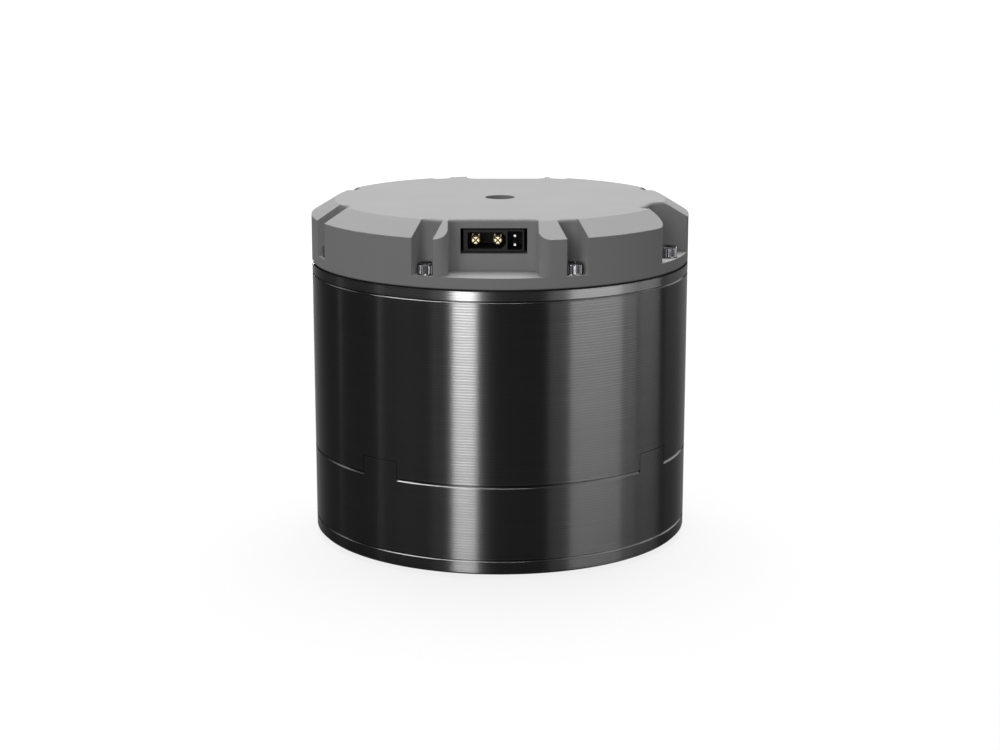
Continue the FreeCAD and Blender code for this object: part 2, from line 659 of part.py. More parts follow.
def make_rear_cover():
    wall_top = z_top - COVER_CHAMFER_H
    cover = turned([(0, z_cover), (BODY_R - EDGE, z_cover), (BODY_R, z_cover + EDGE), (BODY_R, wall_top),
                    (BODY_R - COVER_CHAMFER_R, z_top), (0, z_top)])
    azimuths = [SLOT_AZ + 360.0 * i / SLOT_COUNT for i in range(SLOT_COUNT)]
    cuts = [soft_back(slot_tool(az), az) for i, az in enumerate(azimuths) if i != SIDE_POCKET]
    bay = soft_back(recess_tool(), 0)
    cuts += [soft_back(pocket_tool(), azimuths[SIDE_POCKET]), bay, spun(bay, 180)]
    cover = cover.cut(cuts)
    flat = RECESS_BACK - COVER_WALL
    cavity = disc(COVER_CAVITY_R, z_cover - OVER, z_roof).common(
        box((-BODY_R, BODY_R), (-flat, flat), (z_cover - OVER, z_roof)))
    window = box((WINDOW_X - WINDOW_W / 2, WINDOW_X + WINDOW_W / 2), (-RECESS_BACK - OVER, -flat + OVER),
                 (z_socket - WINDOW_H / 2, z_socket + WINDOW_H / 2))
    cuts = [cavity, window, spun(window, 180), disc(CENTRE_HOLE_R, z_roof - OVER, z_top + OVER),
            disc(TUBE_R + TUBE_GAP, z_roof - OVER, z_tube_top + TUBE_GAP)]
    cuts += holes(M25_HOLE_R, COVER_SCREW_R, SLOT_COUNT, SLOT_AZ, z_cover - OVER, z_slot + OVER)
    node("rear_cover", cover.cut(cuts))
    node("rear_cover_screws", *[screw(M25_R, M25_HEAD_R, M25_HEAD_H, COVER_SCREW_L,
                                      at(az, COVER_SCREW_R, z_slot)) for az in azimuths])


def soft_back(tool, azimuth):
    """Grows a cutter inwards near the cover's top, in short flats that round its back edge."""
    floors = [f for f in tool.Faces if f.BoundBox.ZMax < z_slot + TINY]
    inward = at(azimuth, -RIM_SOFT)
    steps = [math.radians(90.0 * i / SOFT_FLATS) for i in range(SOFT_FLATS + 1)]
    path = [inward * (1 - math.cos(a)) + V(0, 0, RIM_SOFT * math.sin(a)) for a in steps]
    lift = V(0, 0, z_top - RIM_SOFT - z_slot)
    pieces = [f.translated(lift + p0).extrude(p1 - p0) for p0, p1 in zip(path, path[1:]) for f in floors]
    return tool.fuse(pieces)


# ---------------------------------------------------------------- connectors
def cavity_outline(width, height, chamfer):
    w, h, c = width / 2, height / 2, chamfer
    return [(-w, -h), (w - c, -h), (w, -h + c), (w, h - c), (w - c, h), (-w, h)]


def connector_shell():
    """Two-way power and two-way signal socket, mouth towards -Y."""
    mouth = -RECESS_BACK + SHELL_SINK
    shell = box((WINDOW_X - SHELL_W / 2, WINDOW_X + SHELL_W / 2), (mouth, mouth + SHELL_L),
                (z_socket - SHELL_H / 2, z_socket + SHELL_H / 2))
    cavities = ((POWER_X, POWER_W, POWER_H, POWER_CHAMFER), (SIGNAL_X, SIGNAL_W, SIGNAL_H, SIGNAL_CHAMFER))
    for x, w, h, c in cavities:
        points = [V(WINDOW_X + x + px, mouth - OVER, z_socket + pz) for px, pz in cavity_outline(w, h, c)]
        mouth_face = Part.Face(Part.makePolygon(points + points[:1]))
        shell = shell.cut(mouth_face.extrude(V(0, SOCKET_DEPTH + OVER, 0)))
    return shell


def pin(x, z, radius):
    tip = V(WINDOW_X + x, -RECESS_BACK + SHELL_SINK + PIN_SINK, z_socket + z)
    shape = Part.makeCylinder(radius, SOCKET_DEPTH - PIN_SINK, tip, V(0, 1, 0))
    return shape.makeChamfer(radius * PIN_TIP, [e for e in shape.Edges if e.BoundBox.YMax < tip.y + TINY])


def power_pin(x):
    """A pin whose tip is split crosswise, so that it springs in its socket."""
    mouth = -RECESS_BACK + SHELL_SINK
    reach = POWER_PIN_R + OVER
    slit = box((-POWER_SLIT_W / 2, POWER_SLIT_W / 2), (mouth, mouth + POWER_SLIT_L), (-reach, reach))
    slits = [slit.rotated(V(0, 0, 0), V(0, 1, 0), turn) for turn in (45, 135)]
    return pin(x, 0, POWER_PIN_R).cut([s.translated(V(WINDOW_X + x, 0, z_socket)) for s in slits])


def make_connectors():
    node("main_connector", connector_shell())
    node("link_connector", spun(connector_shell(), 180))
    power = [power_pin(POWER_X + s * POWER_PIN_PITCH / 2) for s in (-1, 1)]
    signal = [pin(SIGNAL_X, s * SIGNAL_PIN_PITCH / 2, SIGNAL_PIN_R) for s in (-1, 1)]
    node("power_pins", *(power + [spun(p, 180) for p in power]))
    node("signal_pins", *(signal + [spun(p, 180) for p in signal]))


# ---------------------------------------------------------------- output side
def make_output_bearing():
    """Crossed-roller bearing: V races, rollers tilted 45 degrees by turns, one cage."""
    pitch_r = (BEARING_BORE_R + BEARING_R) / 2
    z_mid = z_gearbox + BEARING_H / 2
    race = (ROLLER_D / 2 + ROLLER_CLEAR) * math.sqrt(2)
    groove = turned([(pitch_r - race, z_mid), (pitch_r, z_mid - race), (pitch_r + race, z_mid),
                     (pitch_r, z_mid + race)])
    outer = tube(BEARING_R, pitch_r + RACE_GAP / 2, z_gearbox, z_race_top)
    inner = tube(pitch_r - RACE_GAP / 2, BEARING_BORE_R, z_gearbox, z_race_top)
    node("output_bearing_outer_ring", outer.cut(groove))
    node("output_bearing_inner_ring", inner.cut(groove))
    rollers = []
    for i in range(ROLLER_COUNT):
        tilt = 45 if i % 2 else 135
        roller = Part.makeCylinder(ROLLER_D / 2, ROLLER_L, V(0, 0, -ROLLER_L / 2))
        roller.rotate(V(0, 0, 0), V(0, 1, 0), tilt)
        roller.translate(V(pitch_r, 0, z_mid))
        rollers.append(spun(roller, 360.0 * i / ROLLER_COUNT))
    node("output_bearing_rollers", *rollers)
    band = tube(pitch_r + CAGE_T / 2, pitch_r - CAGE_T / 2, z_mid - CAGE_H / 2, z_mid + CAGE_H / 2)
    side = ROLLER_D / 2 + CAGE_GAP
    reach = ROLLER_D / math.sqrt(2) + CAGE_GAP
    gate = box((pitch_r - OVER, pitch_r + OVER), (-side, side), (z_mid - reach, z_mid + reach))
    node("output_bearing_cage", band.cut(ring_of(gate, ROLLER_COUNT)))


def make_output_flange():
    """Output flange and front half of the second-stage carrier, with three posts."""
    chamfer = FLANGE_CHAMFER
    body = turned([(TUBE_R, PILOT_DEPTH), (PILOT_R, PILOT_DEPTH), (PILOT_R, 0), (FLANGE_R - chamfer, 0),
                   (FLANGE_R, chamfer), (FLANGE_R, z_gearbox), (BEARING_BORE_R, z_gearbox),
                   (BEARING_BORE_R, z_hub), (HUB_POCKET_R, z_hub), (HUB_POCKET_R, HUB_POCKET_FLOOR),
                   (HUB_SLEEVE_R, HUB_POCKET_FLOOR), (HUB_SLEEVE_R, z_hub), (TUBE_R, z_hub)])
    tip_r = STAGE_2["module"] * (STAGE_2["planet"] / 2 + ADDENDUM)
    posts = tube(CARRIER_R, HUB_POCKET_R, z_hub, z_carrier_2)
    posts = posts.cut([disc(tip_r + POST_GAP, z_hub - OVER, z_carrier_2 + OVER, planet_axis(STAGE_2, k))
                       for k in range(PLANETS)])
    body = body.fuse(posts).removeSplitter()
    cuts = holes(M4_TAP_R, OUTPUT_BOLT_R, OUTPUT_BOLT_COUNT, MOUNT_AZ, -OVER, OUTPUT_BOLT_DEPTH)
    cuts += holes(DOWEL_R, DOWEL_PITCH_R, DOWEL_COUNT, 0, -OVER, DOWEL_DEPTH)
    cuts += planet_pins(STAGE_2, z_pin_2, z_carrier_2)
    cuts += [disc(M3_R, z_carrier_2 - CARRIER_SCREW_GRIP, z_carrier_2 + OVER, c) for c in post_centres()]
    node("output_flange", body.cut(cuts))
    z_nut_top = z_race_top + NUT_H
    nut = tube(NUT_R, BEARING_BORE_R, z_race_top, z_nut_top)
    notch = box((NUT_R - NUT_NOTCH_DEPTH, NUT_R + OVER), (-NUT_NOTCH_W / 2, NUT_NOTCH_W / 2),
                (z_race_top - OVER, z_nut_top + OVER))
    node("bearing_lock_nut", nut.cut(ring_of(notch, NUT_NOTCHES)))


def post_centres():
    return [planet_axis(STAGE_2, k + 0.5) for k in range(PLANETS)]


def make_output_carrier():
    top = z_carrier_2_top
    tip = z_carrier_2 - CARRIER_SCREW_GRIP + CARRIER_SCREW_TIP_GAP
    plate = tube(CARRIER_R, CARRIER_BORE_R, z_carrier_2, top)
    cuts = planet_pins(STAGE_2, z_carrier_2 - OVER, top + OVER)
    screws = []
    for c in post_centres():
        cone = Part.makeCone(M3_R, M3_SINK_R, M3_SINK_R - M3_R, V(c.x, c.y, top - M3_SINK_R + M3_R))
        cuts += [disc(M3_R, z_carrier_2 - OVER, top, c), cone]
        body = cone.fuse(disc(M3_R, tip, top - M3_SOCKET_DEPTH, c)).removeSplitter()
        screws.append(body.cut(disc(M3_SOCKET_R, top - M3_SOCKET_DEPTH, top + OVER, c)))
    node("output_carrier_plate", plate.cut(cuts))
    node("carrier_screws", *screws)
    node("stage2_planet_pins", *planet_pins(STAGE_2, z_pin_2, top))
    node("stage2_planet_bushes", *planet_bushes(STAGE_2, z_planet_2))


def make_hollow_tube():
    node("hollow_tube", tube(TUBE_R, TUBE_BORE_R, PILOT_DEPTH, z_tube_top))
    z0 = z_board_top + TUBE_MAGNET_RISE
    node("output_encoder_magnet", tube(TUBE_MAGNET_R, TUBE_R, z0, z0 + TUBE_MAGNET_H))


# ---------------------------------------------------------------- gear train
def make_gears():
    node("stage2_ring_gear", ring_gear(STAGE_2["ring"], STAGE_2["module"], z_ring_2, z_ring_1))
    node("stage1_ring_gear", ring_gear(STAGE_1["ring"], STAGE_1["module"], z_ring_1, z_bulkhead))
    for k in range(PLANETS):
        node("stage2_planet_" + str(k + 1), planet_gear(STAGE_2, k, z_planet_2))
        node("stage1_planet_" + str(k + 1), planet_gear(STAGE_1, k, z_planet_1))
    sun = spur_gear(STAGE_2["sun"], STAGE_2["module"], z_planet_2, z_carrier_1)
    sun = sun.fuse(disc(SUN_2_HUB_R, z_carrier_1, z_carrier_1_top)).removeSplitter()
    node("stage2_sun_gear", sun.cut(disc(SHAFT_BORE_R, 0, z_top)))


def make_stage1_carrier():
    plate = tube(CARRIER_R, SUN_2_HUB_R, z_carrier_1, z_carrier_1_top)
    cuts = planet_pins(STAGE_1, z_carrier_1 - OVER, z_carrier_1_top + OVER)
    cuts += [disc(LIGHTENING_R, z_carrier_1 - OVER, z_carrier_1_top + OVER, planet_axis(STAGE_1, k + 0.5))
             for k in range(PLANETS)]
    node("stage1_carrier", plate.cut(cuts))
    node("stage1_planet_pins", *planet_pins(STAGE_1, z_carrier_1, z_planet_1_top + PIN_1_OVER))
    node("stage1_planet_bushes", *planet_bushes(STAGE_1, z_planet_1))
    z0 = z_carrier_2_top + WASHER_GAP
    node("interstage_washer", tube(WASHER_R, SUN_2_HUB_R + WASHER_BORE_GAP, z0, z0 + WASHER_H))


# ---------------------------------------------------------------- motor
def make_rotor_bearings():
    """Two thin ball bearings: grooved rings, balls and a band cage with round pockets."""
    outer_race = ROTOR_BEARING_R - ROTOR_RACE
    inner_race = ROTOR_BEARING_BORE_R + ROTOR_RACE
    pitch_r = (outer_race + inner_race) / 2
    balls = []
    cages = []
    for name, z0 in (("front", z_front_bearing), ("rear", z_rear_bearing)):
        z1 = z0 + ROTOR_BEARING_W
        centre = V(pitch_r, 0, (z0 + z1) / 2)
        groove = Part.makeTorus(pitch_r, BALL_R + BALL_CLEAR, V(0, 0, centre.z))
        outer = tube(ROTOR_BEARING_R, outer_race, z0, z1)
        inner = tube(inner_race, ROTOR_BEARING_BORE_R, z0, z1)
        node("rotor_" + name + "_bearing_outer_ring", outer.cut(groove))
        node("rotor_" + name + "_bearing_inner_ring", inner.cut(groove))
        balls += ring_of(Part.makeSphere(BALL_R, centre), BALL_COUNT)
        band = tube(pitch_r + BALL_CAGE_T / 2, pitch_r - BALL_CAGE_T / 2, centre.z - BALL_CAGE_H / 2,
                    centre.z + BALL_CAGE_H / 2)
        pocket = Part.makeCylinder(BALL_R + BALL_POCKET_GAP, 2 * OVER, centre - V(OVER, 0, 0), V(1, 0, 0))
        cages.append(band.cut(ring_of(pocket, BALL_COUNT)))
    node("rotor_bearing_balls", *balls)
    node("rotor_bearing_cages", *cages)
    node("rotor_shaft_seal", tube(ROTOR_BEARING_R, ROTOR_BEARING_BORE_R + SHAFT_SEAL_GAP, z_shaft_seal,
                                  z_shaft_seal + SHAFT_SEAL_H))
    z_spring = z_rear_bearing + ROTOR_BEARING_W + BEARING_END_GAP
    spring = tube(ROTOR_BEARING_R - SPRING_GAP, outer_race, z_spring, z_spring + SPRING_T)
    node("rotor_preload_spring", spring)


def make_rotor():
    """Hollow rotor shaft with the first-stage sun gear cut on its end, back iron and magnets."""
    z_sun_top = z_bulkhead - SUN_1_GAP
    z_web = (z_stack + z_stack_top - WEB_H) / 2
    z_tail = z_board - SHAFT_MAGNET_DROP
    seat_r = ROTOR_BEARING_BORE_R
    shaft = turned([(SHAFT_BORE_R, z_sun_top), (seat_r, z_sun_top), (seat_r, z_boss_top),
                    (SHAFT_SHOULDER_R, z_boss_top), (SHAFT_SHOULDER_R, z_rear_bearing),
                    (seat_r, z_rear_bearing), (seat_r, z_plate), (SHAFT_TAIL_R, z_plate),
                    (SHAFT_TAIL_R, z_tail), (SHAFT_BORE_R, z_tail)])
    sun = spur_gear(STAGE_1["sun"], STAGE_1["module"], z_planet_1 - SUN_1_OVER, z_sun_top)
    node("rotor_shaft", shaft.fuse(sun.cut(disc(SHAFT_BORE_R, 0, z_top))).removeSplitter())
    magnet_r = STATOR_BORE_R - AIR_GAP
    rim_r = magnet_r - MAGNET_T
    z0 = z_stack - MAGNET_OVER
    z1 = z_stack_top + MAGNET_OVER
    web_r = rim_r - RIM_T
    hub = turned([(web_r, z0), (rim_r, z0), (rim_r, z1), (web_r, z1), (web_r, z_web + WEB_H),
                  (SHAFT_SHOULDER_R, z_web + WEB_H), (SHAFT_SHOULDER_R, z_web), (web_r, z_web)])
    near = SHAFT_SHOULDER_R + WEB_INNER_RIM
    far = web_r - WEB_OUTER_RIM
    windows = holes((far - near) / 2, (near + far) / 2, WEB_HOLE_COUNT, 0, z_web - OVER, z_web + WEB_H + OVER)
    node("rotor_hub", hub.cut(windows))
    magnet = tube(magnet_r, rim_r, z0, z1).common(wedge(180.0 / MAGNET_COUNT * MAGNET_FILL))
    node("rotor_magnets", *ring_of(magnet, MAGNET_COUNT))
    node("motor_encoder_magnet", tube(SHAFT_MAGNET_R, SHAFT_TAIL_R, z_tail - SHAFT_MAGNET_H, z_tail))


def make_stator():
    shoe_r = STATOR_BORE_R + SHOE_H
    half = TOOTH_W / 2
    pitch = math.pi / STATOR_SLOTS

    def wall(radius, offset):
        """A corner on the side of a tooth, seen from the middle of its slot."""
        a = math.asin(offset / radius) - pitch
        return radius * math.cos(a), radius * math.sin(a)

    low = [wall(YOKE_R, half), wall(shoe_r + SHOE_TAPER, half), (shoe_r, -SLOT_OPENING / 2),
           (STATOR_BORE_R - OVER, -SLOT_OPENING / 2)]
    outline = low + [(x, -y) for x, y in reversed(low)]
    slot = prism(outline, z_stack - OVER, z_stack_top + OVER)
    core = tube(CORE_R, STATOR_BORE_R, z_stack, z_stack_top)
    node("stator_core", core.cut(ring_of(slot, STATOR_SLOTS, 180.0 / STATOR_SLOTS)))
    inner_r = shoe_r + SHOE_TAPER + COIL_SHOE_GAP
    outer_r = YOKE_R - COIL_YOKE_GAP
    w = half + COIL_CLEAR
    h = (z_stack_top - z_stack) / 2 + COIL_CLEAR
    mid = (z_stack + z_stack_top) / 2
    c = COIL_CHAMFER
    ow = w + COIL_BUILD
    oh = h + COIL_OVERHANG
    ring = [(-ow + c, -oh), (ow - c, -oh), (ow, -oh + c), (ow, oh - c), (ow - c, oh), (-ow + c, oh),
            (-ow, oh - c), (-ow, -oh + c)]
    points = [V(inner_r, y, mid + z) for y, z in ring]
    coil = Part.Face(Part.makePolygon(points + points[:1])).extrude(V(outer_r - inner_r, 0, 0))
    coil = coil.cut(box((0, BODY_R), (-w, w), (mid - h, mid + h)))
    coil = coil.common(slot_room(inner_r, outer_r, mid, oh))
    node("stator_coils", *ring_of(coil, STATOR_SLOTS))
    return mid + oh


def slot_room(inner_r, outer_r, mid, half_h):
    """The wedge that one tooth's coil may fill, up to the middle of the slots beside it."""
    a = math.pi / STATOR_SLOTS
    gap = COIL_CLEAR
    corners = [(inner_r, -inner_r * math.tan(a) + gap), (outer_r, -outer_r * math.tan(a) + gap),
               (outer_r, outer_r * math.tan(a) - gap), (inner_r, inner_r * math.tan(a) - gap)]
    return prism(corners, mid - half_h, mid + half_h)


# ---------------------------------------------------------------- drive electronics
def make_electronics(z_coils):
    flat = RECESS_BACK - COVER_WALL - BOARD_GAP
    board = disc(COVER_CAVITY_R - BOARD_GAP, z_board, z_board_top).common(
        box((-BODY_R, BODY_R), (-flat, flat), (z_board, z_board_top)))
    corners = [at(STANDOFF_AZ + 360.0 * i / STANDOFF_COUNT, STANDOFF_PITCH_R) for i in range(STANDOFF_COUNT)]
    cuts = [disc(M25_R, z_board - OVER, z_board_top + OVER, c) for c in corners]
    node("driver_board", board.cut(cuts + [disc(BOARD_HOLE_R, z_board - OVER, z_board_top + OVER)]))
    node("board_standoffs", *[tube(STANDOFF_R, M25_R, z_gasket, z_board).translated(c) for c in corners])
    screws = [disc(M25_R, z_board - BOARD_SCREW_GRIP, z_board_top).fuse(
        disc(M25_HEAD_R, z_board_top, z_board_top + BOARD_SCREW_HEAD_H)).removeSplitter().translated(c)
        for c in corners]
    node("board_screws", *screws)
    make_board_parts()
    w, d = TERMINAL
    bar = box((TERMINAL_R - d / 2, TERMINAL_R + d / 2), (-w / 2, w / 2), (z_coils, z_board))
    node("phase_terminals", *[spun(bar, az - 90) for az in TERMINAL_AZ])


def make_board_parts():
    """Transistors with their thermal pads below the board; chips, sensors and capacitors."""
    parts = []
    pads = []
    for i in range(MOSFET_COUNT):
        w, d, h = MOSFET
        az = MOSFET_AZ + 360.0 * i / MOSFET_COUNT
        fet = box((MOSFET_R - d / 2, MOSFET_R + d / 2), (-w / 2, w / 2), (z_board - h, z_board))
        pad = box((MOSFET_R - PAD_W / 2, MOSFET_R + PAD_W / 2), (-PAD_W / 2, PAD_W / 2),
                  (z_gasket, z_board - h))
        parts.append(spun(fet, az))
        pads.append(spun(pad, az))
    node("thermal_pads", *pads)
    for x, y, w, d in CHIPS:
        parts.append(box((x - w / 2, x + w / 2), (y - d / 2, y + d / 2), (z_board_top, z_board_top + CHIP_H)))
    w, d, h = SENSOR
    x = (SHAFT_MAGNET_R + SHAFT_TAIL_R) / 2
    parts.append(box((x - w / 2, x + w / 2), (-d / 2, d / 2), (z_board - h, z_board)))
    parts.append(box((-x - w / 2, -x + w / 2), (-d / 2, d / 2), (z_board_top, z_board_top + h)))
    node("board_chips", *parts)
    node("board_capacitors", *[disc(CAPACITOR_R, z_board_top, z_board_top + CAPACITOR_H, V(x, y, 0))
                               for x, y in CAPACITOR_AT])


make_clamp_ring()
make_gearbox_housing()
make_motor_housing()
make_rear_plate()
make_rear_cover()
make_connectors()
make_output_bearing()
make_output_flange()
make_output_carrier()
make_hollow_tube()
make_gears()
make_stage1_carrier()
make_rotor_bearings()
make_rotor()
z_coil_top = make_stator()
make_electronics(z_coil_top)

for name, shape in sorted(built.items()):
    shape.exportStep("parts/" + name + ".step")
    print(name, len(shape.Solids), round(shape.Volume, 1), shape.isValid())
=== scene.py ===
import bpy
import bmesh
import json
import math
from mathutils import Matrix, Vector


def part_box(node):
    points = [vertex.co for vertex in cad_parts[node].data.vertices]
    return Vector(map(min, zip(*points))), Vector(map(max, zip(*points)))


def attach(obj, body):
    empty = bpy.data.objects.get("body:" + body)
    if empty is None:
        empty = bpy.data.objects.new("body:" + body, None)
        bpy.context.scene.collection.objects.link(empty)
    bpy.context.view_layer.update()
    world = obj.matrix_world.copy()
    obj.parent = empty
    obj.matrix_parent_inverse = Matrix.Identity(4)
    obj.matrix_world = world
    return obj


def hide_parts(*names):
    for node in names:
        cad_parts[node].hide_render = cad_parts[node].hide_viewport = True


# Looks of a hollow-shaft robot joint actuator. Metres; +Z runs from the output face to the rear
# cover and -Y is the side with the main connector.

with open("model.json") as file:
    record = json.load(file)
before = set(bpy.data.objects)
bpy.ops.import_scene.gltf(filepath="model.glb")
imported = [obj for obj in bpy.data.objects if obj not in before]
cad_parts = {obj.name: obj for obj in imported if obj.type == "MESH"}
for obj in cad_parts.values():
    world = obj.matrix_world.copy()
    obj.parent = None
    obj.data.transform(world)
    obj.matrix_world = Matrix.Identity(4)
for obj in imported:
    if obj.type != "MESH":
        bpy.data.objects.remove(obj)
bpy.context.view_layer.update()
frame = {"nodes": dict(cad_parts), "record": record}
nodes = frame["nodes"]
mm = 0.001
mergeDistance = 0.002 * mm
smoothAngle = 32                # degrees; sharper edges stay hard
waveBands = 20                  # radians that the wave texture turns in a unit of its coordinate
grainDetail = 3.0
grainRoughness = 0.6
print("frame loaded:", len(nodes), "nodes")


# small helpers
def linear(hexColour):
    # sRGB hex to the linear RGBA that Blender's sockets take
    channels = [int(hexColour[i:i + 2], 16) / 255 for i in (1, 3, 5)]
    channels = [c / 12.92 if c <= 0.04045 else ((c + 0.055) / 1.055) ** 2.4 for c in channels]
    return (*channels, 1.0)


def addNode(tree, kind, settings=None, inputs=None):
    # one node; an input is a value, or a (node, output) pair that is linked
    node = tree.nodes.new(kind)
    for name, value in (settings or {}).items():
        setattr(node, name, value)
    for name, value in (inputs or {}).items():
        if isinstance(value, tuple) and isinstance(value[0], bpy.types.Node):
            tree.links.new(value[0].outputs[value[1]], node.inputs[name])
        else:
            node.inputs[name].default_value = value
    return node


def newMaterial(name):
    material = bpy.data.materials.new(name)
    material.use_nodes = True
    material.node_tree.nodes.clear()
    return material, material.node_tree


def waveScale(pitch):
    return 2 * math.pi / pitch / waveBands


def cloudedTone(tree, place, drift, colours):
    # a slow drift between two close tones, given by its size and its detail
    size, detail = drift
    cloud = addNode(tree, "ShaderNodeTexNoise", None,
                    {"Vector": (place, "Object"), "Scale": 1 / size, "Detail": detail})
    return addNode(tree, "ShaderNodeMix", {"data_type": "RGBA"},
                   {"Factor": (cloud, "Fac"), "A": linear(colours[0]), "B": linear(colours[1])})


def atAzimuth(azimuth, radius, z):
    # azimuths run from -Y towards +X
    a = math.radians(azimuth)
    return Vector((radius * math.sin(a), -radius * math.cos(a), z))


def finishPiece(bm, name, material, body, replaced=()):
    # turns a bmesh into a piece that rides on a CAD body
    bmesh.ops.remove_doubles(bm, verts=bm.verts, dist=mergeDistance)
    bmesh.ops.recalc_face_normals(bm, faces=bm.faces)
    mesh = bpy.data.meshes.new(name)
    bm.to_mesh(mesh)
    bm.free()
    mesh.shade_smooth()
    mesh.set_sharp_from_angle(angle=math.radians(smoothAngle))
    piece = bpy.data.objects.new(name, mesh)
    bpy.context.scene.collection.objects.link(piece)
    mesh.materials.append(material)
    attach(piece, body)
    if replaced:
        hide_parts(*replaced)
    return piece


# black anodised, finely turned aluminium: the dyed oxide is nearly black and the turning lines
# run round the axis, so lamps draw out into upright bands
turnedBlack = {
    "colours": ("#262626", "#383838"),
    "chamferHighlightColour": "#4a4a4a",  # chamfers are cut last and thinly dyed; only upward-facing ones get this lighter tone, a painted highlight
    "chamferSlope": 0.71,       # upward part of a chamfer's normal, and how near it has to come
    "chamferRange": 0.2,
    "edgeTint": "#c0c0c0",      # holds the reflection even towards the rims
    "roughness": 0.255,
    "polish": (-0.008, 0.013),  # roughness added in a line's hollow and on its crest
    "anisotropy": 1.0,
    "glossTurn": 0.25,          # a quarter turn, so that gloss draws out along the axis
    "linePitch": 0.62 * mm,     # cutter feed, drawn coarser than the real 0.1 mm so that it shows
    "waver": (1.2, 2.0, 0.6),   # distortion of the lines, its detail and the detail's scale
    "streak": (22 * mm, 0.5 * mm),  # length and height of the streaks that break the lines up
    "lineDepth": 0.03,
    "lineHeight": 0.05 * mm,
}


def turnedBlackMaterial(name, values):
    material, tree = newMaterial(name)
    place = addNode(tree, "ShaderNodeTexCoord")
    distortion, detail, detailScale = values["waver"]
    feed = addNode(tree, "ShaderNodeTexWave", {"bands_direction": "Z"},
                   {"Vector": (place, "Object"), "Scale": waveScale(values["linePitch"]),
                    "Distortion": distortion, "Detail": detail, "Detail Scale": detailScale})
    length, height = values["streak"]
    drawn = addNode(tree, "ShaderNodeMapping", None,
                    {"Vector": (place, "Object"), "Scale": (1 / length, 1 / length, 1 / height)})
    streaks = addNode(tree, "ShaderNodeTexNoise", None,
                      {"Vector": (drawn, "Vector"), "Scale": 1.0,
                       "Detail": grainDetail, "Roughness": grainRoughness})
    lines = addNode(tree, "ShaderNodeMath", {"operation": "MULTIPLY"},
                    {0: (feed, "Fac"), 1: (streaks, "Fac")})
    dark, light = values["colours"]
    dyed = addNode(tree, "ShaderNodeMix", {"data_type": "RGBA"},
                   {"Factor": (lines, "Value"), "A": linear(dark), "B": linear(light)})
    facing = addNode(tree, "ShaderNodeSeparateXYZ", None, {"Vector": (place, "Normal")})
    # painted highlight: faces whose normal points up like a chamfer's take a lighter tone, where light
    # from above catches them
    chamferHighlightMask = addNode(tree, "ShaderNodeMath", {"operation": "COMPARE"},
                      {0: (facing, "Z"), 1: values["chamferSlope"], 2: values["chamferRange"]})
    tone = addNode(tree, "ShaderNodeMix", {"data_type": "RGBA"},
                   {"Factor": (chamferHighlightMask, "Value"), "A": (dyed, "Result"),
                    "B": linear(values["chamferHighlightColour"])})
    hollow, crest = values["polish"]
    polish = addNode(tree, "ShaderNodeMapRange", None,
                     {"Value": (lines, "Value"), "To Min": values["roughness"] + hollow,
                      "To Max": values["roughness"] + crest})
    bump = addNode(tree, "ShaderNodeBump", None,
                   {"Height": (lines, "Value"), "Strength": values["lineDepth"],
                    "Distance": values["lineHeight"]})
    around = addNode(tree, "ShaderNodeTangent", {"direction_type": "RADIAL", "axis": "Z"})
    shader = addNode(tree, "ShaderNodeBsdfPrincipled", None,
                     {"Base Color": (tone, "Result"), "Metallic": 1.0, "Roughness": (polish, "Result"),
                      "Anisotropic": values["anisotropy"], "Anisotropic Rotation": values["glossTurn"],
                      "Specular Tint": linear(values["edgeTint"]),
                      "Normal": (bump, "Normal"), "Tangent": (around, "Tangent")})
    addNode(tree, "ShaderNodeOutputMaterial", None, {"Surface": (shader, "BSDF")})
    return material


# bead-blasted, grey anodised aluminium: even satin with a fine grain, edges eased by the blasting
blastedGrey = {
    "colours": ("#adadad", "#b4b4b4"),
    "cloud": (14 * mm, 3.0),    # size and detail of the drift in tone
    "roughness": 0.72,
    "polish": 0.06,             # swing of the roughness
    "specular": 0.3,
    "grain": 0.3 * mm,          # real grit is 0.1 mm, drawn coarser so that it shows
    "grainDepth": 0.25,
    "grainHeight": 0.02 * mm,
    "easedEdge": 0.35 * mm,
    "edgeSamples": 6,
}


def blastedGreyMaterial(values):
    material, tree = newMaterial("greyAnodisedBlasted")
    place = addNode(tree, "ShaderNodeTexCoord")
    grain = addNode(tree, "ShaderNodeTexNoise", None,
                    {"Vector": (place, "Object"), "Scale": 1 / values["grain"],
                     "Detail": grainDetail, "Roughness": grainRoughness})
    tone = cloudedTone(tree, place, values["cloud"], values["colours"])
    polish = addNode(tree, "ShaderNodeMapRange", None,
                     {"Value": (grain, "Fac"), "To Min": values["roughness"] - values["polish"],
                      "To Max": values["roughness"] + values["polish"]})
    eased = addNode(tree, "ShaderNodeBevel", {"samples": values["edgeSamples"]},
                    {"Radius": values["easedEdge"]})
    bump = addNode(tree, "ShaderNodeBump", None,
                   {"Height": (grain, "Fac"), "Strength": values["grainDepth"],
                    "Distance": values["grainHeight"], "Normal": (eased, "Normal")})
    shader = addNode(tree, "ShaderNodeBsdfPrincipled", None,
                     {"Base Color": (tone, "Result"), "Specular IOR Level": values["specular"],
                      "Roughness": (polish, "Result"), "Normal": (bump, "Normal")})
    addNode(tree, "ShaderNodeOutputMaterial", None, {"Surface": (shader, "BSDF")})
    return material


